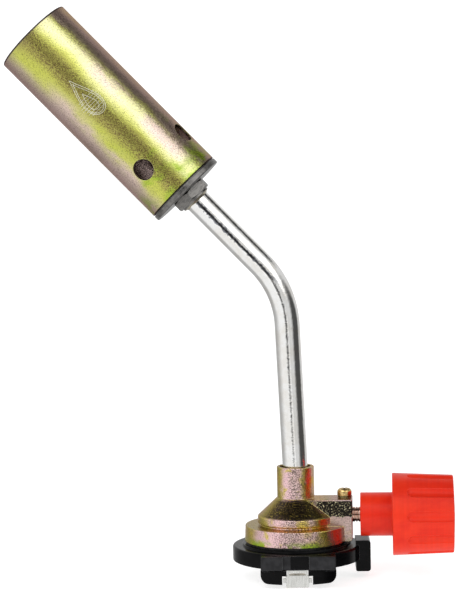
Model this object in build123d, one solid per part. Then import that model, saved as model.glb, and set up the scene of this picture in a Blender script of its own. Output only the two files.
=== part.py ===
from build123d import *
import math
import os

# Hand torch that screws down on a nozzle-type gas cartridge.
# Frame: origin on the base axis in the plane where the cartridge collar seats,
# +Z up, +X towards the valve knob, burner leaning over towards -X. Millimetres.

# ---- clearances -------------------------------------------------------------
RUN = 0.05              # radial clearance of parts that turn or slide
SNUG = 0.02             # clearance of parts that are assembled and then stay

# ---- valve body ---------------------------------------------------------------
HUB_R = 17.5            # spigot that the lock ring turns on
HUB_LOW = 1.2
FLANGE_R = 20.6
FLANGE_TOP_R = 20.3     # casting draft
FLANGE_LOW = 6.5
FLANGE_TOP = 12.9
BAND_R = 15.3
BAND_TOP = 16.5
CONE_TOP_R = 7.7
CONE_TOP = 23.6
NECK_R = 7.4
NECK_TOP = 36.2
BLOCK_X = 22.5
BLOCK_HALF_Y = 6.8
BLOCK_TOP = 23.5

# ---- gas tube -----------------------------------------------------------------
TUBE_R = 5.0
TUBE_WALL = 1.0
TUBE_LEAN = 2.2         # degrees from vertical, towards -X
TUBE_PIVOT_Z = 34.0     # height at which the lower stretch crosses the base axis
TUBE_LOW_Z = 25.4
BEND_Z = 106.9          # height of the bend's virtual corner
BEND_R = 37.5
SLEEVE_R = 6.2
SLEEVE_LOW = 33.6
SLEEVE_HIGH = 35.2

# ---- burner, measured along its own axis from the rear end of its tube -----------
BURNER_LEAN = 43.9      # degrees from vertical, towards -X
BURNER_FROM_BEND = 57.0
BURNER_R = 16.45
BURNER_WALL = 1.1
BURNER_LEN = 84.4
AIR_HOLE_R = 4.25
AIR_HOLE_S = 15.1
AIR_HOLES = 4
AIR_HOLE_TURN = 18.0    # first hole, degrees from -Y towards the underside
PLATE_GAP = 0.3
PLATE_T = 2.2
SPIGOT_LEN = 5.0
HEX_FLATS = 14.5
HEX_H = 3.9
HOLDER_COLLAR_R = 6.3
HOLDER_COLLAR_H = 0.8
HOLDER_STEM_R = 7.0
HOLDER_END = 11.0
NUT_FLATS = 19.0
NUT_H = 4.0
JET_THREAD_R = 2.5
JET_FLATS = 7.0
JET_ORIFICE_R = 0.25
FLAME_HOLDER_S = 38.0
FLAME_HOLDER_T = 0.8
FLAME_HOLDER_RIM = 6.0

# ---- lock ring and claws ----------------------------------------------------------
RING_R = 25.5
RING_TOP = 5.0
RING_LOW = -0.9         # the outer wall hangs below the seat
LIP_R = 21.6
LIP_TOP = 5.7
PAD_X = (-14.15, 14.95)  # grip block at the front of the ring
PAD_FRONT_Y = 27.0
PAD_TOP = 4.8
PAD_WAIST = -0.4        # underside of the block, above the curved lip
PAD_LOW = -6.5
PAD_RECESS_X = (-5.75, 4.65)
WINDOW_HALF = 5.95      # round the front claw's face and ears
WINDOW_SHOULDER = -2.9
WINDOW_LEG_HALF = 4.2   # round its leg
WINDOW_TOP = -0.4
TAB_IN_X = 23.4         # thumb tab under the knob
TAB_OUT_X = 29.3
TAB_HALF_Y = 5.8
TAB_LOW = -5.6
TAB_TOP = 6.8
CLAW_T = 1.0
CLAW_RING_IN = 21.6
CLAW_RING_OUT = 24.0
CLAW_LEG_Y = 22.6       # inner face of a claw's leg, from the base axis
CLAW_HALF = 3.9
CLAW_FACE_HALF = 4.5
CLAW_EAR_HALF = 5.55
CLAW_HOOK_HALF = 3.2
CLAW_HOOK_REACH = 19.0
CLAW_HOOK_TOP = -3.25
FRONT_CLAW_LOW = -8.0
REAR_CLAW_LOW = -4.4
CLAW_ANGLES = (-90.0, 30.0, 150.0)
LOCK_TURN = 35.0        # degrees that the ring turns to let the cartridge go
LOCK_REST = 2.8         # degrees past the side arm's line at which the ring stands locked

# ---- base plate -----------------------------------------------------------------------
BASE_R = 20.0
BASE_T = 1.2
BASE_HOLE_R = 7.6
BASE_SCREW_PCR = 13.3
BASE_SCREW_ANGLES = (30.0, 150.0, 270.0)
STOP_LUG_R = 21.0
STOP_LUG_HALF = 4.0     # degrees
KEY_Y = 18.9
KEY_HALF_X = 2.4
KEY_LOW = -4.5

# ---- inlet ---------------------------------------------------------------------------------
CONNECTOR_LOW = 0.4
CONNECTOR_TOP = 9.0
CONNECTOR_R = 5.95
CONNECTOR_FLANGE_R = 7.4
CONNECTOR_FLANGE_TOP = 2.35
STEM_R = 2.1            # socket for the cartridge's stem
STEM_TOP = 5.4
SEAL_TOP = 7.0
FILTER_TOP = 8.6
INNER_R = 3.05

# ---- spindle and knob --------------------------------------------------------------------
SPINDLE_Z = 16.55
SPINDLE_R = 2.96
SPINDLE_BORE_R = SPINDLE_R + RUN
SEAT_X = -1.0
SEAT_R = 0.8
NOSE_R = 1.6
CHAMBER_R = 2.6
CHAMBER_END = 9.0
O_GROOVE = (10.0, 11.1)
O_GROOVE_R = 2.05
STOP_GROOVE = (16.7, 21.0)
STOP_GROOVE_R = 2.2
STOP_SCREW_X = 19.4
STOP_WASHER_T = 0.9
HUB_X = 25.65
DRUM_X = 38.35
KNOB_END = 63.0
KNOB_HUB_R = 8.65
DRUM_R = 16.35
DRUM_END_R = 15.4
FLUTES = 10
FLUTE_START = 44.0
FLUTE_DEPTH = 1.2
FLUTE_CUT_R = 2.9
FLUTE_TURN = 30.4       # first flute, degrees from -Y towards +Z
SHAFT_R = 2.45
SHAFT_FLAT = 1.85
SHAFT_END = 45.9
KNOB_RECESS_R = 4.2
KNOB_WEB_X = 46.0
WASHER_T = 0.6

BASE = (Align.CENTER, Align.CENTER, Align.MIN)


# ---- helpers ---------------------------------------------------------------------------------
def rod(radius, low, high):
    """Cylinder about Z from one height to another."""
    return Pos(0, 0, low) * Cylinder(radius, high - low, align=BASE)


def tube(outer, inner, low, high):
    """Hollow cylinder about Z."""
    return rod(outer, low, high) - rod(inner, low - 1, high + 1)


def slab(x0, x1, y0, y1, z0, z1):
    """Box from its corner coordinates."""
    size = (x1 - x0, y1 - y0, z1 - z0)
    return Pos((x0 + x1) / 2, (y0 + y1) / 2, (z0 + z1) / 2) * Box(*size)


def turned(*points):
    """Solid of revolution about Z from an outline of (radius, height) corners.

    A corner's third value, where it has one, is the radius that rounds it.
    """
    corners = [Vector(point[0], 0, point[1]) for point in points]
    face = make_face(Polyline(*corners, close=True)).face()
    for corner, point in zip(corners, points):
        if len(point) == 3:
            vertex = face.vertices().sort_by_distance(corner)[0]
            face = face.fillet_2d(point[2], [vertex])
    return revolve(face, Axis.Z)


def hexagon(flats, low, high):
    """Hexagonal bar about Z with both ends chamfered."""
    corner = flats / math.sqrt(3)
    bar = Pos(0, 0, low) * extrude(RegularPolygon(corner, 6), high - low)
    chamfer_h = (corner - flats / 2) * 0.6
    crown = turned(
        (0, low),
        (flats / 2, low),
        (corner, low + chamfer_h),
        (corner, high - chamfer_h),
        (flats / 2, high),
        (0, high),
    )
    return bar & crown


def along_x(shape, x=0.0):
    """Lay a shape made about Z along the spindle's axis."""
    return Pos(x, 0, SPINDLE_Z) * Rot(0, 90, 0) * shape


def spun(shape, angle):
    """Turn a shape about the base axis, in degrees."""
    return Rot(0, 0, angle) * shape


def leaning(angle, pivot):
    """Plane whose normal leans from +Z towards -X, with its x direction along +Y."""
    lean = math.radians(angle)
    return Plane(pivot, x_dir=(0, 1, 0), z_dir=(-math.sin(lean), 0, math.cos(lean)))


# ---- the two leaning frames ------------------------------------------------------------------
lower_frame = leaning(TUBE_LEAN, (0, 0, TUBE_PIVOT_Z))
bend_x = -(BEND_Z - TUBE_PIVOT_Z) * math.tan(math.radians(TUBE_LEAN))
upper_axis = leaning(BURNER_LEAN, (bend_x, 0, BEND_Z)).z_dir
rear_point = Vector(bend_x, 0, BEND_Z) + upper_axis * BURNER_FROM_BEND
burner_frame = leaning(BURNER_LEAN, rear_point)


# ---- valve body group ------------------------------------------------------------------------
def make_side_block():
    """Square arm of the casting that carries the spindle."""
    arm = slab(0, BLOCK_X, -BLOCK_HALF_Y, BLOCK_HALF_Y, FLANGE_LOW, BLOCK_TOP)
    low = arm.edges().filter_by(Axis.Y).sort_by(Axis.X)[-2:].sort_by(Axis.Z)[0]
    arm = fillet(low, 1.6)
    top = arm.edges().filter_by(Axis.X).sort_by(Axis.Z)[-2:].sort_by(Axis.Y)
    arm = fillet(top[-1], 2.2)
    arm = fillet(arm.edges().filter_by(Axis.X).sort_by(Axis.Y)[0:2].sort_by(Axis.Z)[-1], 0.5)
    rest = arm.edges().filter_by(lambda e: e.center().X > BLOCK_X - 0.01)
    return fillet(rest, 0.45)


def make_valve_body():
    """Die-cast body: spigot, flange, cone, neck and side arm, with its gas ways."""
    shell = turned(
        (0, HUB_LOW),
        (HUB_R - 0.4, HUB_LOW),
        (HUB_R, HUB_LOW + 0.4),
        (HUB_R, FLANGE_LOW),
        (FLANGE_R, FLANGE_LOW, 0.3),
        (FLANGE_TOP_R, FLANGE_TOP, 0.35),
        (BAND_R - 0.9, FLANGE_TOP, 0.3),
        (BAND_R - 0.9, FLANGE_TOP + 0.5),
        (BAND_R, FLANGE_TOP + 1.0, 0.2),
        (BAND_R, BAND_TOP, 0.4),
        (CONE_TOP_R, CONE_TOP, 0.5),
        (NECK_R, CONE_TOP + 0.1),
        (NECK_R, NECK_TOP, 0.35),
        (0, NECK_TOP),
    )
    body = shell + make_side_block()
    # socket of the gas tube, with its seal groove and the mouth's counterbore
    body -= lower_frame * rod(TUBE_R + SNUG, TUBE_LOW_Z - TUBE_PIVOT_Z, 6)
    body -= lower_frame * rod(5.9, -6.2, -4.8)
    body -= lower_frame * rod(SLEEVE_R + SNUG, SLEEVE_LOW - TUBE_PIVOT_Z, 6)
    # gas ways: inlet to the valve chamber, seat, and outlet up to the tube
    body -= Pos(2.2, 0, 0) * rod(1.0, CONNECTOR_TOP, SPINDLE_Z - 1.5)
    body -= along_x(rod(CHAMBER_R, SEAT_X, CHAMBER_END))
    body -= along_x(rod(SEAT_R, -4.5, SEAT_X))
    body -= Pos(-3.5, 0, 0) * rod(1.25, SPINDLE_Z - 0.8, TUBE_LOW_Z + 1)
    body -= along_x(rod(SPINDLE_BORE_R, CHAMBER_END, BLOCK_X + 1))
    body -= along_x(turned(
        (0, BLOCK_X - 0.6),
        (SPINDLE_BORE_R, BLOCK_X - 0.6),
        (SPINDLE_BORE_R + 0.7, BLOCK_X + 0.1),
        (0, BLOCK_X + 0.1),
    ))
    # seat of the inlet connector
    body -= rod(CONNECTOR_R + SNUG, HUB_LOW - 1, CONNECTOR_TOP)
    body -= rod(CONNECTOR_FLANGE_R + 0.1, HUB_LOW - 1, CONNECTOR_FLANGE_TOP)
    body -= rod(3.8, CONNECTOR_TOP - 0.5, CONNECTOR_TOP + 0.6)
    # tapped holes
    body -= Pos(STOP_SCREW_X, 0, 0) * rod(1.5, SPINDLE_Z + 2.5, BLOCK_TOP + 1)
    for angle in BASE_SCREW_ANGLES:
        body -= spun(Pos(BASE_SCREW_PCR, 0, 0) * rod(1.27, HUB_LOW - 1, 6.3), angle)
    return body


def make_tube_sleeve():
    """Dark ring that closes the mouth of the neck round the gas tube."""
    low = SLEEVE_LOW - TUBE_PIVOT_Z
    high = SLEEVE_HIGH - TUBE_PIVOT_Z
    ring = turned(
        (TUBE_R + SNUG, low),
        (SLEEVE_R, low),
        (SLEEVE_R, high - 0.4),
        (SLEEVE_R - 0.4, high),
        (TUBE_R + SNUG, high - 0.3),
    )
    return lower_frame * ring


def make_tube_o_ring():
    """Seal between the gas tube and its socket."""
    return lower_frame * Pos(0, 0, -5.5) * Torus(5.45, 0.42)


# ---- gas tube --------------------------------------------------------------------------------
def make_gas_tube():
    """Bent steel tube from the neck to the jet holder."""
    start = lower_frame.origin + lower_frame.z_dir * (TUBE_LOW_Z + 0.3 - TUBE_PIVOT_Z)
    corner = Vector(bend_x, 0, BEND_Z)
    end = rear_point + upper_axis * 1.8
    path = FilletPolyline(start, corner, end, radius=BEND_R)
    section = Plane(start, x_dir=(0, 1, 0), z_dir=lower_frame.z_dir)
    outer = sweep(section * Circle(TUBE_R), path=path)
    inner = sweep(section * Circle(TUBE_R - TUBE_WALL), path=path)
    return outer - inner


# ---- burner group ----------------------------------------------------------------------------
def make_burner_tube():
    """Burner barrel with four air holes near its rear end."""
    inner = BURNER_R - BURNER_WALL
    barrel = turned(
        (inner, 0),
        (BURNER_R, 0, 0.25),
        (BURNER_R, BURNER_LEN, 0.5),
        (inner, BURNER_LEN, 0.3),
    )
    drill = Pos(0, 0, AIR_HOLE_S) * Rot(0, 90, 0) * rod(AIR_HOLE_R, 8, BURNER_R + 3)
    for k in range(AIR_HOLES):
        angle = 180 - AIR_HOLE_TURN + k * 360 / AIR_HOLES
        barrel -= Rot(0, 0, angle) * drill
    return burner_frame * barrel


def make_end_plate():
    """Rear plug of the burner: a disc with a spigot pushed into the barrel."""
    inner = BURNER_R - BURNER_WALL
    plug = turned(
        (HOLDER_STEM_R + SNUG, -PLATE_GAP - PLATE_T),
        (BURNER_R, -PLATE_GAP - PLATE_T, 0.45),
        (BURNER_R, -PLATE_GAP, 0.25),
        (inner - SNUG, -PLATE_GAP),
        (inner - SNUG, SPIGOT_LEN - 0.5),
        (inner - 0.5, SPIGOT_LEN),
        (HOLDER_STEM_R + SNUG, SPIGOT_LEN),
    )
    return burner_frame * plug


def make_jet_holder():
    """Hexagon fitting that joins the gas tube, the end plate and the jet."""
    back = -PLATE_GAP - PLATE_T
    part = hexagon(HEX_FLATS, back - HEX_H, back)
    part += rod(HOLDER_COLLAR_R, back - HEX_H - HOLDER_COLLAR_H, back - HEX_H)
    part += rod(HOLDER_STEM_R, back, HOLDER_END)
    part -= rod(TUBE_R + SNUG, back - 10, 2.0)
    part -= rod(2.05, 1.0, 6.0)
    part -= rod(JET_THREAD_R, 5.5, HOLDER_END + 1)
    return burner_frame * part


def make_jet_lock_nut():
    """Thin nut that clamps the jet holder to the end plate from inside."""
    nut = hexagon(NUT_FLATS, SPIGOT_LEN, SPIGOT_LEN + NUT_H)
    return burner_frame * (nut - rod(HOLDER_STEM_R + SNUG, 0, 20))


def make_gas_jet():
    """Brass jet with a fine orifice."""
    jet = rod(JET_THREAD_R - SNUG, 6.0, HOLDER_END)
    jet += hexagon(JET_FLATS, HOLDER_END, HOLDER_END + 2.4)
    jet += turned(
        (0, HOLDER_END + 2.3),
        (2.6, HOLDER_END + 2.3),
        (1.4, HOLDER_END + 4.4),
        (0, HOLDER_END + 4.4),
    )
    jet -= rod(1.2, 5, HOLDER_END + 3)
    jet -= rod(JET_ORIFICE_R, HOLDER_END, HOLDER_END + 6)
    return burner_frame * jet


def make_jet_filter():
    """Sintered plug behind the jet."""
    return burner_frame * turned((0, 3.0), (1.8, 3.0), (2.0, 3.3), (2.0, 5.0), (0, 5.0))


def make_flame_holder():
    """Perforated cup that steadies the flame half way along the barrel."""
    outer = BURNER_R - BURNER_WALL - SNUG
    low = FLAME_HOLDER_S
    cup = rod(outer, low, low + FLAME_HOLDER_RIM)
    cup -= rod(outer - FLAME_HOLDER_T, low + FLAME_HOLDER_T, low + 20)
    cup -= rod(4.0, low - 1, low + 5)
    for ring_r, count, hole_r in ((7.0, 6, 1.2), (11.2, 12, 1.6)):
        for k in range(count):
            hole = Pos(ring_r, 0, 0) * rod(hole_r, low - 1, low + 2)
            cup -= Rot(0, 0, k * 360 / count) * hole
    return burner_frame * cup


# ---- fasteners -------------------------------------------------------------------------------
def pan_screw(thread_r, length, head_r, head_h):
    """Pan-head screw with a cross recess; the head's underside is at height 0."""
    dome = turned(
        (0, 0),
        (head_r, 0, 0.2),
        (head_r, head_h * 0.93, head_h * 0.55),
        (0, head_h),
    )
    slot = slab(-head_r * 0.78, head_r * 0.78, -0.4, 0.4, head_h * 0.45, head_h + 1)
    dome -= slot + Rot(0, 0, 90) * slot
    shank = turned(
        (0, -length),
        (thread_r - 0.35, -length),
        (thread_r, -length + 0.35),
        (thread_r, 0.1),
        (0, 0.1),
    )
    return dome + shank


def make_stop_screw():
    """Screw on the side arm whose tip keeps the spindle from unscrewing fully."""
    base = BLOCK_TOP + STOP_WASHER_T
    screw = pan_screw(1.5 - SNUG, 3.5, 2.9, 2.8)
    screw += rod(1.15, SPINDLE_Z + 2.4 - base, -3.3)
    return Pos(STOP_SCREW_X, 0, base) * Rot(0, 0, -2) * screw


def make_stop_screw_washer():
    """Split spring washer under the stop screw's head."""
    ring = tube(2.75, 1.6, 0, STOP_WASHER_T)
    ring -= Rot(0, 0, 160) * slab(0, 4, -0.2, 0.2, -1, 2)
    return Pos(STOP_SCREW_X, 0, BLOCK_TOP) * ring


def make_base_plate_screws():
    """Three countersunk screws, flush with the base plate."""
    screw = turned((0, 0.05), (2.3, 0.05), (1.25, 1.1), (1.25, 5.6), (0.9, 6.0), (0, 6.0))
    slot = slab(-1.4, 1.4, -0.3, 0.3, -1, 0.75)
    screw -= slot + Rot(0, 0, 90) * slot
    placed = [spun(Pos(BASE_SCREW_PCR, 0, 0) * screw, a) for a in BASE_SCREW_ANGLES]
    return Compound(children=placed)


# ---- base plate and inlet ----------------------------------------------------------------------
def ring_sector(outer, inner, low, high, start, stop):
    """Piece of a flat ring between two angles in degrees, counted from +X."""
    points = [(0, 0)]
    steps = 6
    for k in range(steps + 1):
        a = math.radians(start + (stop - start) * k / steps)
        points.append((2 * outer * math.cos(a), 2 * outer * math.sin(a)))
    wedge = extrude(make_face(Polyline(*points, close=True)), high - low)
    return tube(outer, inner, low, high) & (Pos(0, 0, low) * wedge)


def make_base_plate():
    """Steel plate that the collar seats on, with its key tongue and stop lug."""
    plate = turned(
        (BASE_HOLE_R, 0),
        (BASE_R - 0.2, 0),
        (BASE_R, 0.2),
        (BASE_R, BASE_T),
        (BASE_HOLE_R, BASE_T),
    )
    lug = 90 + LOCK_REST
    plate += ring_sector(
        STOP_LUG_R, BASE_R - 2, 0.1, BASE_T, lug - STOP_LUG_HALF, lug + STOP_LUG_HALF
    )
    plate += slab(-KEY_HALF_X, KEY_HALF_X, KEY_Y, KEY_Y + 1, KEY_LOW, 0.4)
    for angle in BASE_SCREW_ANGLES:
        sink = turned((0, -0.1), (2.5, -0.1), (1.4, 1.0), (1.4, 2.0), (0, 2.0))
        plate -= spun(Pos(BASE_SCREW_PCR, 0, 0) * sink, angle)
    return plate


def make_inlet_connector():
    """Brass connector that opens the cartridge's valve by its stem."""
    part = turned(
        (0, CONNECTOR_LOW),
        (CONNECTOR_FLANGE_R - 0.3, CONNECTOR_LOW),
        (CONNECTOR_FLANGE_R, CONNECTOR_LOW + 0.3),
        (CONNECTOR_FLANGE_R, CONNECTOR_FLANGE_TOP),
        (CONNECTOR_R, CONNECTOR_FLANGE_TOP),
        (CONNECTOR_R, CONNECTOR_TOP - 0.4),
        (CONNECTOR_R - 0.4, CONNECTOR_TOP),
        (0, CONNECTOR_TOP),
    )
    part -= tube(CONNECTOR_R + 1, 4.9, 3.4, 4.7)
    part -= rod(STEM_R, CONNECTOR_LOW - 1, STEM_TOP + 1)
    part -= rod(INNER_R, STEM_TOP, CONNECTOR_TOP + 1)
    for side in (-1, 1):
        part -= Pos(0, side * 5.2, 0) * rod(0.8, CONNECTOR_LOW - 1, 1.8)
    return part


def make_inlet_seal():
    """Rubber washer that seals on the cartridge's stem."""
    return tube(INNER_R - SNUG, 1.1, STEM_TOP, SEAL_TOP)


def make_inlet_filter():
    """Sintered disc above the seal."""
    disc = rod(INNER_R - SNUG, SEAL_TOP, FILTER_TOP)
    return disc - rod(1.2, SEAL_TOP - 1, SEAL_TOP + 0.6)


def make_inlet_o_ring():
    """Seal between the connector and the body."""
    return Pos(0, 0, 4.05) * Torus(5.43, 0.5)


def make_friction_washer():
    """Thin washer that gives the lock ring its drag."""
    return tube(LIP_R - 1.6, HUB_R + 0.1, LIP_TOP + 0.04, FLANGE_LOW - 0.04)


# ---- lock ring and claws -------------------------------------------------------------------------
def make_front_pad():
    """Grip block at the front of the lock ring, with the window of the front claw."""
    left, right = PAD_X
    front = -PAD_FRONT_Y
    pad = slab(left, right, front, -18, PAD_WAIST, PAD_TOP)
    pad = fillet(pad.edges().filter_by(Axis.Z).sort_by(Axis.Y)[0:2], 0.6)
    pad = fillet(pad.edges().filter_by(Axis.X).sort_by(Axis.Y)[0:2].sort_by(Axis.Z)[-1], 0.4)
    pad -= slab(*PAD_RECESS_X, -40, front + 1.1, -10, 10)
    pad += slab(left + 0.6, right - 0.6, front + 2.6, -18, PAD_WAIST - 1, PAD_WAIST + 0.1)
    # the lower lip curves round the ring and has rounded ends
    lip = slab(left - 0.25, right + 0.25, -40, -18, PAD_LOW, PAD_WAIST - 0.5)
    lip = fillet(lip.edges().filter_by(Axis.Y).sort_by(Axis.Z)[0:2], 3.4)
    lip = fillet(lip.edges().filter_by(Axis.Y).sort_by(Axis.Z)[-2:], 0.8)
    bottom = turned((0, PAD_LOW), (PAD_FRONT_Y - 0.3, PAD_LOW, 0.8), (PAD_FRONT_Y - 0.3, 0), (0, 0))
    pad += lip & bottom
    pad -= slab(-WINDOW_HALF, WINDOW_HALF, -40, 0, -20, WINDOW_SHOULDER)
    pad -= slab(-WINDOW_LEG_HALF, WINDOW_LEG_HALF, -40, 0, -20, WINDOW_TOP)
    leg_front = -CLAW_LEG_Y - CLAW_T - 0.6
    return pad - slab(-WINDOW_LEG_HALF, WINDOW_LEG_HALF, leg_front, 0, -20, 0)


def make_thumb_tab():
    """Lever of the lock ring, under the knob."""
    tab = slab(TAB_IN_X, TAB_OUT_X, -TAB_HALF_Y, TAB_HALF_Y, TAB_LOW, TAB_TOP)
    outer = tab.edges().filter_by(Axis.Y).sort_by(Axis.X)[-2:]
    tab = fillet(outer, 1.2)
    inner = tab.edges().filter_by(Axis.Y).sort_by(Axis.X)[0:2].sort_by(Axis.Z)[0]
    tab = fillet(inner, 0.8)
    root = slab(18.5, TAB_IN_X + 0.1, -TAB_HALF_Y, TAB_HALF_Y, 1.3, RING_TOP)
    return tab + root


def make_lock_ring():
    """Moulded ring with its grip block and thumb tab."""
    ring = turned(
        (HUB_R + RUN, BASE_T + RUN),
        (BASE_R + 0.1, BASE_T + RUN),
        (BASE_R + 0.1, 0),
        (CLAW_RING_OUT + 0.1, 0),
        (CLAW_RING_OUT + 0.1, RING_LOW),
        (RING_R, RING_LOW, 0.35),
        (RING_R, RING_TOP, 0.8),
        (LIP_R, RING_TOP, 0.3),
        (LIP_R, LIP_TOP, 0.25),
        (HUB_R + RUN, LIP_TOP),
    )
    hollow = rod(HUB_R + RUN, -20, 20)
    ring += make_front_pad() - rod(CLAW_LEG_Y - 0.4, -20, 20)
    ring += make_thumb_tab() - hollow
    # pocket of the stop lug, and recess of the claw plate with its stakes
    gap = 0.3
    ring -= ring_sector(
        STOP_LUG_R + 0.1,
        HUB_R,
        -1,
        BASE_T + RUN,
        90 - LOCK_TURN - STOP_LUG_HALF - gap,
        90 + STOP_LUG_HALF + gap,
    )
    ring -= tube(CLAW_RING_OUT + RUN, CLAW_RING_IN - RUN, -0.01, CLAW_T + 0.01)
    for angle in stake_angles():
        ring += spun(Pos(22.8, 0, 0) * rod(0.7, 0.2, CLAW_T + 0.5), angle)
    return spun(ring, LOCK_REST)


def stake_angles():
    """Places of the moulded stakes that hold the claw plate, between the claws."""
    return [a + shift for a in CLAW_ANGLES for shift in (30, 60, 90)]


def make_claw(low, wings):
    """One claw, standing on the -Y side: leg, lanced slot and hook."""
    front = -CLAW_LEG_Y - CLAW_T
    claw = slab(-CLAW_HALF, CLAW_HALF, front, -CLAW_LEG_Y, low, 0.5)
    if wings:
        claw += slab(-CLAW_FACE_HALF, CLAW_FACE_HALF, front, -CLAW_LEG_Y, low, CLAW_HOOK_TOP)
        claw += slab(-CLAW_EAR_HALF, CLAW_EAR_HALF, front + 0.3, -CLAW_LEG_Y, -6.2, -4.4)
    foot = claw.edges().filter_by(Axis.Y).sort_by(Axis.Z)[0:2]
    claw = fillet(foot, 0.6)
    claw -= slab(-CLAW_HOOK_HALF, CLAW_HOOK_HALF, front - 1, 0, CLAW_HOOK_TOP, CLAW_HOOK_TOP + 1.1)
    hook = slab(
        -CLAW_HOOK_HALF,
        CLAW_HOOK_HALF,
        -CLAW_LEG_Y - 0.1,
        -CLAW_HOOK_REACH,
        CLAW_HOOK_TOP - CLAW_T,
        CLAW_HOOK_TOP,
    )
    tip = hook.edges().filter_by(Axis.Z).sort_by(Axis.Y)[-2:]
    return claw + fillet(tip, 1.2)


def make_claw_plate():
    """Spring-steel ring with three claws that grip the cartridge's collar."""
    plate = tube(CLAW_RING_OUT, CLAW_RING_IN, 0, CLAW_T)
    for angle in CLAW_ANGLES:
        front = angle == CLAW_ANGLES[0]
        low = FRONT_CLAW_LOW if front else REAR_CLAW_LOW
        plate += spun(make_claw(low, front), angle + 90)
    for angle in stake_angles():
        plate -= spun(Pos(22.8, 0, 0) * rod(0.7 + SNUG, -1, 3), angle)
    return spun(plate, LOCK_REST)


# ---- spindle and knob ----------------------------------------------------------------------------
def make_spindle():
    """Needle-valve spindle, closed against its seat at rest."""
    tip_x = SEAT_X - (SEAT_R - 0.02) / math.tan(math.radians(30))
    nose_x = tip_x + NOSE_R / math.tan(math.radians(30))
    points = [(0, tip_x), (NOSE_R, nose_x), (NOSE_R, CHAMBER_END + 0.1)]
    points += [(SPINDLE_R, CHAMBER_END + 0.1)]
    visible = (23.5, 24.5)
    grooves = [(O_GROOVE, O_GROOVE_R), (STOP_GROOVE, STOP_GROOVE_R)]
    grooves += [((x, x + 0.4), SPINDLE_R - 0.3) for x in visible]
    for (start, stop), radius in grooves:
        points += [(SPINDLE_R, start), (radius, start), (radius, stop), (SPINDLE_R, stop)]
    points += [(SPINDLE_R, HUB_X - 0.05), (0, HUB_X - 0.05)]
    spindle = turned(*points)
    shaft = rod(SHAFT_R, HUB_X - 1, SHAFT_END)
    shaft -= slab(SHAFT_FLAT, 9, -9, 9, HUB_X - 0.05, SHAFT_END + 1)
    spindle += shaft
    spindle -= rod(1.25, 38, SHAFT_END + 1)
    return along_x(spindle)


def make_spindle_o_ring():
    """Gas seal of the spindle."""
    return along_x(Pos(0, 0, sum(O_GROOVE) / 2) * Torus(2.52, 0.455))


def make_flute():
    """Cutter of one flute, parallel to the drum's tapered side."""
    taper = math.degrees(math.atan((DRUM_R - DRUM_END_R) / (KNOB_END - DRUM_X)))
    surface = DRUM_R - (DRUM_R - DRUM_END_R) * (FLUTE_START - DRUM_X) / (KNOB_END - DRUM_X)
    cutter = rod(FLUTE_CUT_R, 0, 30) + Sphere(FLUTE_CUT_R)
    place = Pos(surface - FLUTE_DEPTH + FLUTE_CUT_R, 0, FLUTE_START + 2.4)
    return place * Rot(0, -taper, 0) * cutter


def make_knob():
    """Moulded valve knob: plain hub and fluted drum."""
    knob = turned(
        (0, HUB_X),
        (KNOB_HUB_R, HUB_X, 0.25),
        (KNOB_HUB_R, DRUM_X, 0.3),
        (DRUM_R, DRUM_X, 0.35),
        (DRUM_END_R, KNOB_END - 0.5, 0.6),
        (KNOB_RECESS_R, KNOB_END),
        (0, KNOB_END),
    )
    flute = make_flute()
    for k in range(FLUTES):
        knob -= Rot(0, 0, 90 + FLUTE_TURN + k * 360 / FLUTES) * flute
    bore = rod(SHAFT_R + SNUG, HUB_X - 1, KNOB_WEB_X + 1)
    bore -= slab(SHAFT_FLAT + SNUG, 9, -9, 9, HUB_X - 2, KNOB_WEB_X + 2)
    knob -= bore + rod(KNOB_RECESS_R, KNOB_WEB_X, KNOB_END + 1)
    return along_x(knob)


def make_knob_washer():
    """Washer under the knob screw."""
    return along_x(tube(3.6, 1.6, KNOB_WEB_X, KNOB_WEB_X + WASHER_T))


def make_knob_screw():
    """Screw that holds the knob on the spindle."""
    screw = pan_screw(1.25 - SNUG, 7.0, 2.7, 2.2)
    return along_x(screw, KNOB_WEB_X + WASHER_T)


# ---- write the parts -----------------------------------------------------------------------------
parts = {
    "valve_body": make_valve_body(),
    "tube_sleeve": make_tube_sleeve(),
    "tube_o_ring": make_tube_o_ring(),
    "gas_tube": make_gas_tube(),
    "burner_tube": make_burner_tube(),
    "burner_end_plate": make_end_plate(),
    "jet_holder": make_jet_holder(),
    "jet_lock_nut": make_jet_lock_nut(),
    "gas_jet": make_gas_jet(),
    "jet_filter": make_jet_filter(),
    "flame_holder": make_flame_holder(),
    "stop_screw": make_stop_screw(),
    "stop_screw_washer": make_stop_screw_washer(),
    "base_plate": make_base_plate(),
    "base_plate_screws": make_base_plate_screws(),
    "inlet_connector": make_inlet_connector(),
    "inlet_seal": make_inlet_seal(),
    "inlet_filter": make_inlet_filter(),
    "inlet_o_ring": make_inlet_o_ring(),
    "friction_washer": make_friction_washer(),
    "lock_ring": make_lock_ring(),
    "claw_plate": make_claw_plate(),
    "spindle": make_spindle(),
    "spindle_o_ring": make_spindle_o_ring(),
    "knob": make_knob(),
    "knob_washer": make_knob_washer(),
    "knob_screw": make_knob_screw(),
}

os.makedirs("parts", exist_ok=True)
for name, shape in parts.items():
    export_step(shape, f"parts/{name}.step")
    print(name, len(shape.solids()), round(shape.volume, 1))
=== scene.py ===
"""Looks of the propane torch: its materials, and the studio and camera round it."""

import math

import bpy
from mathutils import Matrix, Vector


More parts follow.
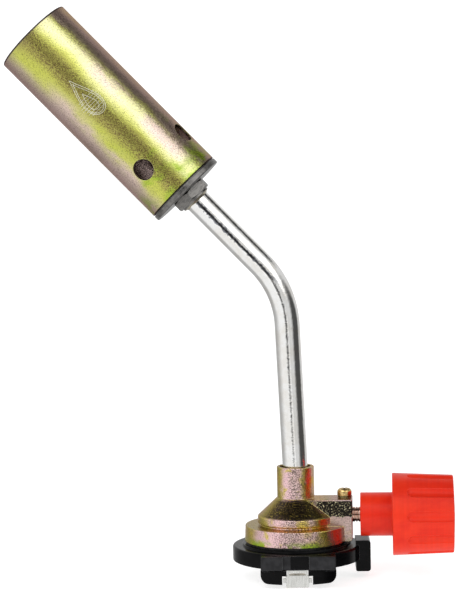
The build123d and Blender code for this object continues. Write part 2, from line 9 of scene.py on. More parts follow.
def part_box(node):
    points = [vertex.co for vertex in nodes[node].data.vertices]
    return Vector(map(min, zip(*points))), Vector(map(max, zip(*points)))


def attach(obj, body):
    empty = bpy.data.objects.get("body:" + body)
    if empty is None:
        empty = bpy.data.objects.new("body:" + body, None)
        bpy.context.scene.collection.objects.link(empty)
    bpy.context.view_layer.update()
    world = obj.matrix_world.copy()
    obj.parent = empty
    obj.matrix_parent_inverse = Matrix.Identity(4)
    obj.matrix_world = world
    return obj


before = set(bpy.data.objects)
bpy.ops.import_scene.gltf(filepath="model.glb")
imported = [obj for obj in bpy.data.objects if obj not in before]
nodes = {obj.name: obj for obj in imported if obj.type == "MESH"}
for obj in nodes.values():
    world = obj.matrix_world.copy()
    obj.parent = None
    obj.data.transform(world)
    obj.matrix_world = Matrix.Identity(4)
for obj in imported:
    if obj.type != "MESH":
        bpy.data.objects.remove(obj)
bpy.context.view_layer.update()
MM = 0.001

# Places taken from the CAD frame, in metres
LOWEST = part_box("claw_plate")[0].z
SPINDLE_Z = (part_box("spindle")[0].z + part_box("spindle")[1].z) / 2
BLOCK_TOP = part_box("stop_screw_washer")[0].z

# The tube's lower stretch and its bend, as part.py has them
TUBE_R = 5.0 * MM
TUBE_LEAN = math.radians(2.2)
TUBE_PIVOT_Z = 34.0 * MM
BEND_Z = 106.9 * MM
BEND_POINT = Vector(((TUBE_PIVOT_Z - BEND_Z) * math.tan(TUBE_LEAN), 0, BEND_Z))

# The burner's own frame: its axis, the side of it that faces up, and its rear end
BURNER_LEAN = math.radians(43.9)
BURNER_FROM_BEND = 57.0 * MM
BURNER_R = 16.45 * MM
BURNER_WALL = 1.1 * MM
BURNER_LEN = 84.4 * MM
BURNER_AXIS = Vector((-math.sin(BURNER_LEAN), 0, math.cos(BURNER_LEAN)))
BURNER_UPPER = Vector((math.cos(BURNER_LEAN), 0, math.sin(BURNER_LEAN)))
BURNER_REAR = BEND_POINT + BURNER_AXIS * BURNER_FROM_BEND

# Directions in the part's frame
FRONT = Vector((0, -1, 0))
UP = Vector((0, 0, 1))

# The camera, as solved from the photograph
CAMERA_PLACE = Vector((37, -850, 172)) * MM
CAMERA_HEADING = math.radians(4.04)
CAMERA_PITCH = math.radians(4.495)
CAMERA_ROLL = math.radians(1.116)
CAMERA_LENS = 131.66


# ---- camera, floor and light ---------------------------------------------------------
def make_camera():
    """Camera in front of the torch, a little to its right and above, looking down."""
    level = Vector((math.cos(CAMERA_HEADING), math.sin(CAMERA_HEADING), 0))
    ahead = Vector((-math.sin(CAMERA_HEADING), math.cos(CAMERA_HEADING), 0))
    right = level * math.cos(CAMERA_ROLL) - UP * math.sin(CAMERA_ROLL)
    up = level * math.sin(CAMERA_ROLL) + UP * math.cos(CAMERA_ROLL)
    ahead = ahead * math.cos(CAMERA_PITCH) - up * math.sin(CAMERA_PITCH)
    up = right.cross(ahead)
    data = bpy.data.cameras.new("camera")
    data.lens = CAMERA_LENS
    data.sensor_width = 36
    data.clip_start = 0.01
    cam = bpy.data.objects.new("camera", data)
    bpy.context.scene.collection.objects.link(cam)
    turn = Matrix((right, up, -ahead)).transposed()
    cam.matrix_world = Matrix.Translation(CAMERA_PLACE) @ turn.to_4x4()
    bpy.context.scene.camera = cam


def make_world():
    """Studio surroundings: white all round, with soft boxes and a few dark gaps."""
    world = bpy.data.worlds.new("studio")
    bpy.context.scene.world = world
    world.use_nodes = True
    tree = world.node_tree
    tree.nodes.clear()
    direction = node(tree, "ShaderNodeTexCoord").outputs["Generated"]
    colour = (0.66, 0.66, 0.66)
    # direction, inner and outer edge in degrees, brightness
    patches = (
        ((-0.55, -0.62, -0.45), 25, 50, 0.90),  # white card at the lower left
        ((-0.05, -0.95, -0.30), 9, 24, 1.00),   # table in front
        ((-0.74, 0.55, -0.45), 12, 40, 0.42),   # gap behind, at the lower left
        ((0.0, 0.05, 1.0), 18, 38, 0.05),       # gap overhead
        ((0.50, -0.62, 0.60), 17, 29, 1.60),    # soft box at the upper right
        ((0.65, 0.24, 0.72), 5, 14, 0.05),      # gap behind that soft box
        ((0.57, 0.50, 0.65), 5, 12, 0.05),      # and further round
        ((0.97, -0.10, -0.12), 20, 42, 0.07),   # gap at the right
        ((-0.10, -0.99, 0.03), 8, 14, 0.03),    # opening for the camera
    )
    for towards, inner, outer, level in patches:
        patch = lobe(tree, direction, towards, inner, outer)
        colour = blend_colour(tree, patch, colour, (level, level, level))
    seen = node(tree, "ShaderNodeLightPath").outputs["Is Camera Ray"]
    colour = blend_colour(tree, seen, colour, (1, 1, 1))
    background = node(tree, "ShaderNodeBackground", {"Color": colour, "Strength": 1.0})
    out = node(tree, "ShaderNodeOutputWorld")
    tree.links.new(background.outputs[0], out.inputs["Surface"])


def make_floor():
    """Pale floor that rises behind the torch as one sheet."""
    near, bend, top, half_width = -1.5, 0.9, 2.5, 3
    bend_r = 0.5
    steps = 12
    level = LOWEST - 0.2 * MM
    profile = [(near, 0.0), (bend, 0.0)]
    for k in range(1, steps + 1):
        turn = math.radians(90 * k / steps)
        profile.append((bend + bend_r * math.sin(turn), bend_r * (1 - math.cos(turn))))
    profile.append((bend + bend_r, top))
    mesh = bpy.data.meshes.new("floor")
    verts = []
    for y, z in profile:
        verts += [(-half_width, y, z + level), (half_width, y, z + level)]
    faces = [(2 * k, 2 * k + 1, 2 * k + 3, 2 * k + 2) for k in range(len(profile) - 1)]
    mesh.from_pydata(verts, [], faces)
    for face in mesh.polygons:
        face.use_smooth = True
    floor = bpy.data.objects.new("floor", mesh)
    bpy.context.scene.collection.objects.link(floor)
    material, tree, shader, where = start("floor_paper")
    tone = ramp(tree, noise(tree, where, 6, 4), [(0.3, 0.52), (0.7, 0.56)])
    wire(tree, shader, Base_Color=tone, Roughness=0.9)
    wire(tree, shader, Emission_Color=(1, 1, 1, 1), Emission_Strength=0.72)
    mesh.materials.append(material)
    floor.visible_glossy = False


def make_key_light():
    """One large soft box above and to the left."""
    data = bpy.data.lights.new("key", "AREA")
    data.shape = "RECTANGLE"
    data.size = 0.9
    data.size_y = 0.7
    data.energy = 4
    key = bpy.data.objects.new("key", data)
    bpy.context.scene.collection.objects.link(key)
    key.location = (-0.5, -0.75, 0.95)
    aim = Vector((0, 0, 0.08)) - key.location
    key.rotation_euler = aim.to_track_quat("-Z", "Y").to_euler()


# ---- shader helpers ------------------------------------------------------------------
def feed(tree, socket, value):
    """Link an input to another node's output, or set its value."""
    if isinstance(value, bpy.types.NodeSocket):
        tree.links.new(value, socket)
    else:
        socket.default_value = value


def node(tree, kind, inputs=None, **settings):
    """A shader node with its settings made and its inputs linked or filled in."""
    made = tree.nodes.new(kind)
    for key, value in settings.items():
        setattr(made, key, value)
    for key, value in (inputs or {}).items():
        feed(tree, made.inputs[key], value)
    return made


def maths(tree, operation, a, b=0.0):
    """One arithmetic step."""
    return node(tree, "ShaderNodeMath", {0: a, 1: b}, operation=operation).outputs[0]


def product(tree, *factors):
    """All the factors multiplied together."""
    result, *others = factors
    for factor in others:
        result = maths(tree, "MULTIPLY", result, factor)
    return result


def times_plus(tree, a, b, c):
    """a times b, plus c."""
    return maths(tree, "ADD", product(tree, a, b), c)


def opposite(tree, share):
    """1 minus a share."""
    return maths(tree, "SUBTRACT", 1.0, share)


def vector_maths(tree, operation, a, b):
    """The node of one arithmetic step on vectors."""
    return node(tree, "ShaderNodeVectorMath", {0: a, 1: b}, operation=operation)


def dot(tree, vector, direction):
    """How far a vector reaches along a direction."""
    return vector_maths(tree, "DOT_PRODUCT", vector, direction).outputs["Value"]


def span(tree, value, low, high):
    """0 at the low value and 1 at the high one, eased between them."""
    inputs = {"Value": value, "From Min": low, "From Max": high}
    return node(tree, "ShaderNodeMapRange", inputs, interpolation_type="SMOOTHSTEP").outputs[0]


def inside_span(tree, value, low, full, still, high):
    """0 below low, 1 from full to still, 0 above high, eased between them."""
    falling = opposite(tree, span(tree, value, still, high))
    return product(tree, span(tree, value, low, full), falling)


def opaque(colour):
    """A colour with its alpha; what comes from another node stays as it is."""
    return colour if isinstance(colour, bpy.types.NodeSocket) else (*colour, 1)


def blend_colour(tree, share, a, b, mode="MIX"):
    """Mix of two colours."""
    inputs = {0: share, 6: opaque(a), 7: opaque(b)}
    made = node(tree, "ShaderNodeMix", inputs, data_type="RGBA", blend_type=mode)
    return made.outputs[2]


def ramp(tree, share, stops, kind="EASE"):
    """Colour ramp from a list of (place, colour or grey)."""
    made = node(tree, "ShaderNodeValToRGB", {0: share})
    elements = made.color_ramp.elements
    made.color_ramp.interpolation = kind
    while len(elements) < len(stops):
        elements.new(0.5)
    for element, (place, colour) in zip(elements, stops):
        element.position = place
        if not hasattr(colour, "__len__"):
            colour = (colour, colour, colour)
        element.color = (*colour, 1)
    return made.outputs[0]


def noise(tree, vector, scale, detail=3.0, rough=0.5, warp=0.0):
    """Noise value, 0 to 1, about 0.5."""
    inputs = {"Vector": vector, "Scale": scale, "Detail": detail}
    inputs |= {"Roughness": rough, "Distortion": warp}
    return node(tree, "ShaderNodeTexNoise", inputs).outputs[0]


def stretched(tree, vector, sizes):
    """A position squeezed by a factor along each axis, for streaks."""
    return vector_maths(tree, "MULTIPLY", vector, sizes).outputs[0]


def lobe(tree, direction, towards, inner, outer):
    """1 within the inner angle of a direction and 0 beyond the outer one, in degrees."""
    cosine = dot(tree, direction, Vector(towards).normalized())
    return span(tree, cosine, math.cos(math.radians(outer)), math.cos(math.radians(inner)))


def bump(tree, height, distance, under=None):
    """Bump normal from a height value, with the relief's depth in metres."""
    inputs = {"Height": height, "Strength": 1.0, "Distance": distance}
    if under is not None:
        inputs["Normal"] = under
    return node(tree, "ShaderNodeBump", inputs).outputs[0]


def soft_edges(tree, radius):
    """Normal that rounds sharp edges a little."""
    return node(tree, "ShaderNodeBevel", {"Radius": radius}, samples=6).outputs[0]


def true_normal(tree):
    """Normal of the surface, without any relief."""
    return node(tree, "ShaderNodeNewGeometry").outputs["Normal"]


def edge_wear_and_highlight(tree, radius):
    """1 along sharp edges and 0 away from them; it places edge wear and painted edge highlights."""
    flatness = dot(tree, soft_edges(tree, radius), true_normal(tree))
    return span(tree, opposite(tree, flatness), 0.02, 0.16)


def start(name):
    """New material: its tree, its main shader and the position in the part's frame."""
    material = bpy.data.materials.new(name)
    material.use_nodes = True
    tree = material.node_tree
    shader = tree.nodes["Principled BSDF"]
    where = node(tree, "ShaderNodeTexCoord").outputs["Object"]
    return material, tree, shader, where


def wire(tree, shader, **inputs):
    """Link or set inputs of the main shader; underscores stand for spaces."""
    for key, value in inputs.items():
        feed(tree, shader.inputs[key.replace("_", " ")], value)


def paint(material, *names):
    """Give CAD nodes a material."""
    for name in names:
        mesh = nodes[name].data
        mesh.materials.clear()
        mesh.materials.append(material)


# ---- materials -----------------------------------------------------------------------
MAUVE = (0.50, 0.38, 0.34)
PINK = (0.84, 0.64, 0.58)
GOLD = (0.76, 0.60, 0.12)
LIME = (0.68, 0.71, 0.13)
GREEN = (0.42, 0.58, 0.05)
OLIVE = (0.50, 0.46, 0.12)
# painted highlight: the pale colour of the barrel's bright band
PALE_HIGHLIGHT = (0.93, 0.90, 0.47)
ROSE = (0.96, 0.64, 0.66)


def burner_place(tree, where):
    """Position in the burner's own frame: as a vector, along it, round it and out from it."""
    shifted = vector_maths(tree, "SUBTRACT", where, BURNER_REAR).outputs[0]
    along = dot(tree, shifted, BURNER_AXIS)
    front = dot(tree, shifted, FRONT)
    upper = dot(tree, shifted, BURNER_UPPER)
    own = node(tree, "ShaderNodeCombineXYZ", {0: along, 1: front, 2: upper}).outputs[0]
    squares = times_plus(tree, front, front, product(tree, upper, upper))
    return own, along, maths(tree, "ARCTAN2", upper, front), maths(tree, "SQRT", squares)


def bands_round(tree, turn, drift, amount, bands):
    """Colours at angles round an axis, in degrees, that drift into each other."""
    share = times_plus(tree, turn, 0.5 / math.pi, 0.5)
    share = times_plus(tree, maths(tree, "SUBTRACT", drift, 0.5), amount, share)
    stops = [((angle + 180) / 360, colour) for angle, colour in bands]
    return ramp(tree, share, stops, "B_SPLINE")


def grained(tree, colour, grain, share, dark):
    """Dark grains in a colour, where the share is above nought."""
    grains = opposite(tree, span(tree, grain, 0.42, 0.55))
    return blend_colour(tree, product(tree, grains, share), colour, dark)


def burner_colour(tree, own, along, turn):
    """Chromate film: bands along the barrel that drift, green at the rear, pink blotches; the pale
    band is a painted highlight and the olive band at the front a painted dark reflection.
    """
    bands = [
        (-180, GOLD), (-140, MAUVE), (-105, LIME), (-75, MAUVE), (-52, PINK), (-36, LIME),
        (-24, LIME), (-12, OLIVE), (4, OLIVE), (14, LIME), (24, PALE_HIGHLIGHT), (38, PALE_HIGHLIGHT), (46, LIME),
        (52, MAUVE), (72, MAUVE), (100, GOLD), (135, GREEN), (180, GOLD),
    ]
    drift = noise(tree, stretched(tree, own, (0.45, 1, 1)), 95, 4, 0.55, 0.4)
    colour = bands_round(tree, turn, drift, 0.10, bands)
    rear = opposite(tree, span(tree, along, 3 * MM, 36 * MM))
    patch = span(tree, noise(tree, own, 120, 3, 0.5, 0.6), 0.42, 0.66)
    colour = blend_colour(tree, product(tree, rear, patch), colour, GREEN)
    blotch = noise(tree, stretched(tree, own, (0.5, 1, 1)), 85, 4, 0.55)
    middle = inside_span(tree, along, 0.0, 14 * MM, 52 * MM, 72 * MM)
    upper = inside_span(tree, turn, 0.32, 0.52, 0.74, 0.86)
    lower = inside_span(tree, turn, -1.6, -0.9, -0.62, -0.26)
    reach = maths(tree, "MAXIMUM", upper, lower)
    pink = product(tree, middle, reach, span(tree, blotch, 0.36, 0.58), 0.9)
    return blend_colour(tree, pink, colour, PINK)


def burner_steel():
    """Yellow chromate over drawn steel, with its grain, heat marks and bright rims; painted dark
    reflections in bands along the front, a painted dark lip and gap, and rims that are partly a
    painted highlight.
    """
    material, tree, shader, where = start("chromated_steel")
    own, along, turn, radius = burner_place(tree, where)
    colour = burner_colour(tree, own, along, turn)
    grain = noise(tree, own, 2300, 3, 0.65)
    fleck = ramp(tree, grain, [(0.34, 0.52), (0.47, 0.97), (0.70, 1.08)])
    colour = blend_colour(tree, 1.0, colour, fleck, "MULTIPLY")
    # painted dark reflections: two dark-grained bands along the front
    rough = inside_span(tree, turn, -0.36, -0.14, 0.06, 0.28)
    colour = grained(tree, colour, grain, product(tree, rough, 0.85), (0.20, 0.13, 0.05))
    rough = inside_span(tree, turn, 0.66, 0.78, 0.92, 1.15)
    colour = grained(tree, colour, grain, product(tree, rough, 0.7), (0.16, 0.09, 0.06))
    # heat has browned the muzzle and the inside
    soft = noise(tree, own, 260, 4, 0.6)
    brown = ramp(tree, soft, [(0.35, (0.22, 0.15, 0.13)), (0.6, (0.44, 0.33, 0.30))])
    bore = BURNER_R - BURNER_WALL
    inside = opposite(tree, span(tree, radius, bore + 0.2 * MM, bore + 0.7 * MM))
    scorch = span(tree, along, BURNER_LEN - 5 * MM, BURNER_LEN + 3 * MM)
    heat = maths(tree, "MAXIMUM", product(tree, scorch, 0.4), inside)
    colour = blend_colour(tree, heat, colour, brown)
    # painted shade: a dark line along the lip, and a black line in front of the end plate for the
    # shade of the gap
    painted_dark_lip = span(tree, along, BURNER_LEN - 0.85 * MM, BURNER_LEN - 0.55 * MM)
    colour = blend_colour(tree, painted_dark_lip, colour, (0.06, 0.05, 0.045))
    painted_gap_shade = opposite(tree, span(tree, along, 0.35 * MM, 0.60 * MM))
    colour = blend_colour(tree, painted_gap_shade, colour, (0.012, 0.010, 0.008))
    # bright metal shows along the holes' edges, worn and partly a painted highlight
    patchy = ramp(tree, noise(tree, own, 700, 2), [(0.35, 0.3), (0.6, 1.0)])
    clean = opposite(tree, maths(tree, "MAXIMUM", painted_dark_lip, painted_gap_shade))
    worn = product(tree, edge_wear_and_highlight(tree, 0.35 * MM), patchy, clean)
    colour = blend_colour(tree, worn, colour, (0.80, 0.78, 0.40))
    shine = ramp(tree, grain, [(0.3, 0.27), (0.7, 0.18)])
    scratch = noise(tree, stretched(tree, own, (1.0, 0.08, 0.08)), 2400, 2)
    relief = bump(tree, grain, 0.10 * MM, soft_edges(tree, 0.25 * MM))
    relief = bump(tree, scratch, 0.006 * MM, relief)
    relief = bump(tree, noise(tree, own, 160, 2), 0.05 * MM, relief)
    wire(tree, shader, Base_Color=colour, Metallic=1.0, Roughness=shine, Normal=relief)
    wire(tree, shader, Specular_Tint=(0.72, 0.54, 0.54, 1), Coat_Weight=0.2, Coat_Roughness=0.15)
    return material


def casting_colour(tree, where, place, turn, grain):
    """Chromate film on the casting: bands round it that drift, patches between them, and a painted
    dark reflection as a dark-grained band at the front.
    """
    bands = [
        (-180, GOLD), (-125, ROSE), (-95, OLIVE), (-64, OLIVE), (-50, GOLD), (-38, ROSE),
        (-18, ROSE), (-4, PINK), (16, ROSE), (28, GOLD), (40, GOLD), (52, ROSE), (80, OLIVE),
        (110, ROSE), (145, GREEN), (180, GOLD),
    ]
    drift = noise(tree, where, 110, 3, 0.55, 0.4)
    colour = bands_round(tree, turn, drift, 0.22, bands)
    patch = span(tree, noise(tree, where, 190, 3, 0.5, 0.4), 0.54, 0.64)
    colour = blend_colour(tree, product(tree, patch, 0.8), colour, GOLD)
    foot = opposite(tree, span(tree, place[2], 7.2 * MM, 9.8 * MM))
    tint = span(tree, drift, 0.44, 0.56)
    colour = blend_colour(tree, product(tree, foot, tint), colour, GREEN)
    # painted dark reflection: a dark-grained band round the front
    rough = inside_span(tree, turn, -0.5, -0.2, 0.35, 0.7)
    return grained(tree, colour, grain, product(tree, rough, 0.8), (0.14, 0.09, 0.06))


def level_face_reflection(tree, colour, place, turn, upward):
    """Painted reflection on the casting's level faces: olive at the left, gold at the front, olive
    at the right.
    """
    level = span(tree, upward, 0.80, 0.95)
    golden = span(tree, turn, -0.9, -0.4)
    tone = blend_colour(tree, golden, (0.42, 0.46, 0.14), (0.72, 0.55, 0.10))
    tone = blend_colour(tree, span(tree, place[0], 9 * MM, 13 * MM), tone, (0.46, 0.46, 0.12))
    return blend_colour(tree, product(tree, level, 0.85), colour, tone)


def cone_dark_reflection(tree, colour, place, turn, grain):
    """Painted dark reflection on the cone, with bright flecks, most of all on its front."""
    cone = inside_span(tree, place[2], 16.6 * MM, 17.2 * MM, 22.6 * MM, 24.2 * MM)
    front = inside_span(tree, turn, -1.25, -0.75, 0.75, 1.0)
    flecks = [(0.44, (0.018, 0.012, 0.006)), (0.56, (0.06, 0.045, 0.012))]
    flecks += [(0.66, (0.55, 0.42, 0.10))]
    share = product(tree, cone, times_plus(tree, front, 0.75, 0.2))
    return blend_colour(tree, share, colour, ramp(tree, grain, flecks))


def arm_painted_reflection(tree, colour, where, place, grain, upward):
    """Painted reflection on the side arm: mauve, with its upper part darker still and full of
    bright grains.
    """
    mauve = inside_span(tree, place[0], 12 * MM, 16 * MM, 30 * MM, 31 * MM)
    colour = blend_colour(tree, product(tree, mauve, 0.7), colour, (0.66, 0.47, 0.48))
    squares = times_plus(tree, place[0], place[0], product(tree, place[1], place[1]))
    outside = maths(tree, "GREATER_THAN", maths(tree, "SQRT", squares), 10.5 * MM)
    right = span(tree, place[0], 7.5 * MM, 9 * MM)
    upright = opposite(tree, maths(tree, "GREATER_THAN", upward, 0.3))
    edge = times_plus(tree, noise(tree, where, 300, 3, 0.6), 3 * MM, 15.3 * MM)
    high = maths(tree, "GREATER_THAN", place[2], edge)
    below_top = maths(tree, "LESS_THAN", place[2], BLOCK_TOP - 0.5 * MM)
    arm = product(tree, outside, right, upright, high, below_top)
    grains = [(0.50, (0.012, 0.009, 0.006)), (0.58, (0.08, 0.06, 0.03)), (0.67, (0.85, 0.78, 0.50))]
    return blend_colour(tree, arm, colour, ramp(tree, grain, grains))


def body_casting():
    """Yellow chromate over a zinc casting, with its cast skin, a painted dark reflection on the
    cone and arm, painted reflection on the level faces, and pale edges that are worn and partly a
    painted highlight.
    """
    material, tree, shader, where = start("chromated_zinc")
    place = node(tree, "ShaderNodeSeparateXYZ", {0: where}).outputs
    turn = maths(tree, "ARCTAN2", place[0], product(tree, place[1], -1.0))
    upward = dot(tree, true_normal(tree), UP)
    cast = noise(tree, where, 2500, 3, 0.65)
    grain = noise(tree, where, 2100, 2, 0.6)
    colour = casting_colour(tree, where, place, turn, cast)
    colour = level_face_reflection(tree, colour, place, turn, upward)
    colour = cone_dark_reflection(tree, colour, place, turn, grain)
    colour = arm_painted_reflection(tree, colour, where, place, grain, upward)
    fleck = ramp(tree, cast, [(0.34, 0.40), (0.46, 0.97), (0.7, 1.10)])
    colour = blend_colour(tree, 1.0, colour, fleck, "MULTIPLY")
    # edges: worn, and partly a painted highlight as bright yellow lines
    patchy = ramp(tree, noise(tree, where, 600, 2), [(0.35, 0.4), (0.6, 1.0)])
    worn = product(tree, edge_wear_and_highlight(tree, 0.4 * MM), patchy)
    colour = blend_colour(tree, worn, colour, (0.92, 0.80, 0.30))
    coarse = noise(tree, where, 620, 2, 0.5)
    shine = ramp(tree, coarse, [(0.3, 0.14), (0.7, 0.24)])
    relief = bump(tree, coarse, 0.10 * MM, soft_edges(tree, 0.3 * MM))
    relief = bump(tree, cast, 0.09 * MM, relief)
    wire(tree, shader, Base_Color=colour, Metallic=1.0, Roughness=shine, Normal=relief)
    wire(tree, shader, Specular_Tint=(0.85, 0.66, 0.62, 1), Coat_Weight=0.2, Coat_Roughness=0.1)
    return material


def bright_tube():
    """Polished steel tube: draw marks, faint ripples and stains, and a painted dark reflection as a
    streak past the bend.
    """
    material, tree, shader, where = start("bright_steel")
    lines = noise(tree, stretched(tree, where, (0.02, 1.0, 0.02)), 3200, 3)
    ripple = noise(tree, where, 520, 4, 0.65, 0.5)
    stain = noise(tree, where, 160, 4, 0.6)
    colour = ramp(tree, stain, [(0.35, (0.90, 0.88, 0.84)), (0.65, (0.97, 0.97, 0.96))])
    own, along, turn, _ = burner_place(tree, where)
    # painted reflection: a dark ragged streak along the front past the bend
    ragged = noise(tree, stretched(tree, own, (0.6, 1, 1)), 1300, 3, 0.6)
    painted_dark_streak = inside_span(tree, times_plus(tree, ragged, 0.6, turn), 0.14, 0.20, 0.40, 0.46)
    painted_dark_streak = product(tree, painted_dark_streak, span(tree, along, -55 * MM, -48 * MM), 0.8)
    colour = blend_colour(tree, painted_dark_streak, colour, (0.10, 0.11, 0.14))
    shine = ramp(tree, ripple, [(0.3, 0.06), (0.7, 0.14)])
    relief = bump(tree, ripple, 0.07 * MM)
    relief = bump(tree, lines, 0.006 * MM, relief)
    wire(tree, shader, Base_Color=colour, Metallic=1.0, Roughness=shine, Normal=relief)
    return material


def finish_metal(tree, shader, tone, marks, light, dark, roughness, edge, depth):
    """Tone patches and tool marks in one bare metal, with brighter worn edges."""
    mottled = times_plus(tree, tone, 0.55, product(tree, marks, 0.45))
    colour = ramp(tree, mottled, [(0.40, dark), (0.60, light)])
    brighter = [min(1.0, 0.2 + 1.1 * c) for c in light]
    worn = product(tree, edge_wear_and_highlight(tree, edge), 0.65)
    colour = blend_colour(tree, worn, colour, brighter)
    shine = ramp(tree, tone, [(0.3, roughness * 0.75), (0.7, roughness * 1.25)])
    relief = bump(tree, marks, depth, soft_edges(tree, edge * 0.6))
    relief = bump(tree, tone, depth, relief)
    wire(tree, shader, Base_Color=colour, Metallic=1.0, Roughness=shine, Normal=relief)


def plated_metal(name, light, dark, roughness, lines=(1, 1, 0.1)):
    """Sheet metal with fine lines one way."""
    material, tree, shader, where = start(name)
    tone = noise(tree, where, 300, 4, 0.6)
    marks = noise(tree, stretched(tree, where, lines), 2200, 3, 0.6)
    finish_metal(tree, shader, tone, marks, light, dark, roughness, 0.25 * MM, 0.015 * MM)
    return material


def turned_metal(name, light, dark, roughness, centre, axis, pitch):
    """Metal with the rings that a lathe tool leaves round an axis."""
    material, tree, shader, where = start(name)
    offset = vector_maths(tree, "SUBTRACT", where, centre).outputs[0]
    along = dot(tree, offset, axis)
    reach = node(tree, "ShaderNodeVectorMath", {0: offset}, operation="LENGTH").outputs["Value"]
    across = times_plus(tree, reach, reach, product(tree, along, along, -1))
    radius = maths(tree, "SQRT", maths(tree, "MAXIMUM", across, 0.0))
    rings = node(tree, "ShaderNodeCombineXYZ", {0: along, 1: radius}).outputs[0]
    marks = noise(tree, rings, 1 / pitch, 2)
    tone = noise(tree, where, 520, 4, 0.65)
    finish_metal(tree, shader, tone, marks, light, dark, roughness, 0.2 * MM, 0.02 * MM)
    return material


def black_nylon():
    """Moulded black nylon with a soft gloss; the grip faces are painted a little lighter as a
    painted reflection, and the edges carry painted highlights.
    """
    material, tree, shader, where = start("black_nylon")
    place = node(tree, "ShaderNodeSeparateXYZ", {0: where}).outputs
    skin = noise(tree, where, 1600, 3, 0.55)
    flow = noise(tree, stretched(tree, where, (1, 1, 3)), 130, 4, 0.6, 0.5)
    colour = ramp(tree, flow, [(0.35, (0.001, 0.001, 0.0012)), (0.65, (0.003, 0.003, 0.0034))])
    # painted reflection: the grip faces' fronts lighter grey
    outermost = maths(tree, "LESS_THAN", place[1], -26.0 * MM)
    upper_part = maths(tree, "GREATER_THAN", place[2], -0.5 * MM)
    reflection_patches = ramp(tree, noise(tree, where, 400, 4), [(0.35, 0.6), (0.65, 1.0)])
    painted_grip_reflection = product(tree, outermost, upper_part, reflection_patches)
    colour = blend_colour(tree, painted_grip_reflection, colour, (0.030, 0.030, 0.032))
    # painted highlights: light grey lines along the edges
    worn = product(tree, edge_wear_and_highlight(tree, 0.3 * MM), 0.7)
    colour = blend_colour(tree, worn, colour, (0.13, 0.13, 0.135))
    rub = span(tree, noise(tree, stretched(tree, where, (1, 1, 0.25)), 900, 3), 0.60, 0.72)
    shine = times_plus(tree, rub, 0.14, 0.14)
    relief = bump(tree, skin, 0.008 * MM, soft_edges(tree, 0.4 * MM))
    relief = bump(tree, flow, 0.05 * MM, relief)
    wire(tree, shader, Base_Color=colour, Roughness=shine, Normal=relief, Specular_IOR_Level=0.10)
    return material


def red_plastic():
    """Moulded red plastic: faint flow lines, a fine skin, and painted highlights as lighter red
    along the flutes' edges.
    """
    material, tree, shader, where = start("red_plastic")
    skin = noise(tree, where, 1300, 3, 0.55)
    flow = noise(tree, stretched(tree, where, (0.5, 1, 1)), 90, 4, 0.6, 1.0)
    colour = ramp(tree, flow, [(0.32, (0.78, 0.026, 0.010)), (0.68, (0.88, 0.042, 0.014))])
    lines = noise(tree, stretched(tree, where, (1, 0.05, 0.05)), 900, 3)
    tint = ramp(tree, lines, [(0.35, 0.90), (0.65, 1.0)])
    colour = blend_colour(tree, 0.5, colour, tint, "MULTIPLY")
    # painted highlights: lighter red along the edges
    worn = product(tree, edge_wear_and_highlight(tree, 0.35 * MM), 0.45)
    colour = blend_colour(tree, worn, colour, (0.98, 0.16, 0.11))
    rub = span(tree, noise(tree, stretched(tree, where, (0.2, 1, 1)), 1100, 3), 0.60, 0.70)
    shine = times_plus(tree, rub, 0.15, 0.30)
    relief = bump(tree, skin, 0.010 * MM, soft_edges(tree, 0.25 * MM))
    relief = bump(tree, lines, 0.008 * MM, relief)
    wire(tree, shader, Base_Color=colour, Roughness=shine, Normal=relief, Specular_IOR_Level=0.2)
    return material


def black_rubber():
    """Matt black rubber with a fine skin."""
    material, tree, shader, where = start("black_rubber")
    skin = noise(tree, where, 2500, 3, 0.6)
    colour = ramp(tree, skin, [(0.3, 0.010), (0.7, 0.028)])
    shine = ramp(tree, skin, [(0.3, 0.55), (0.7, 0.75)])
    wire(tree, shader, Base_Color=colour, Roughness=shine, Normal=bump(tree, skin, 0.02 * MM))
    return material


def sintered_bronze():
    """Bronze grains pressed together."""
    material, tree, shader, where = start("sintered_bronze")
    inputs = {"Vector": where, "Scale": 4200}
    grains = node(tree, "ShaderNodeTexVoronoi", inputs).outputs["Distance"]
    colour = ramp(tree, grains, [(0.1, (0.62, 0.44, 0.24)), (0.7, (0.10, 0.07, 0.04))])
    relief = bump(tree, opposite(tree, grains), 0.08 * MM)
    wire(tree, shader, Base_Color=colour, Metallic=1.0, Roughness=0.45, Normal=relief)
    return material


def heated_steel():
    """Flame holder: steel gone straw, purple and blue from the flame, with soot."""
    material, tree, shader, where = start("heated_steel")
    film = noise(tree, where, 190, 4, 0.55, 0.6)
    tints = [
        (0.30, (0.50, 0.42, 0.26)),  # straw
        (0.44, (0.46, 0.28, 0.14)),  # brown
        (0.52, (0.24, 0.13, 0.22)),  # purple
        (0.62, (0.12, 0.16, 0.30)),  # blue
        (0.75, (0.30, 0.30, 0.30)),  # bare
    ]
    colour = ramp(tree, film, tints)
    soot = span(tree, noise(tree, where, 420, 4, 0.6), 0.48, 0.68)
    colour = blend_colour(tree, product(tree, soot, 0.7), colour, (0.03, 0.027, 0.025))
    grain = noise(tree, where, 1800, 3, 0.6)
    shine = ramp(tree, soot, [(0.0, 0.32), (1.0, 0.75)])
    wire(tree, shader, Base_Color=colour, Metallic=0.9, Roughness=shine)
    wire(tree, shader, Normal=bump(tree, grain, 0.03 * MM, soft_edges(tree, 0.2 * MM)))
    return material


# ---- pieces that only the looks need -------------------------------------------------
def new_piece(name, verts, faces, material):
    """Smooth mesh that rides on the torch's fixed body."""
    mesh = bpy.data.meshes.new(name)
    mesh.from_pydata(verts, [], faces)
    for face in mesh.polygons:
        face.use_smooth = True
    mesh.materials.append(material)
    piece = bpy.data.objects.new(name, mesh)
    bpy.context.scene.collection.objects.link(piece)
    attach(piece, "torch")
    return piece


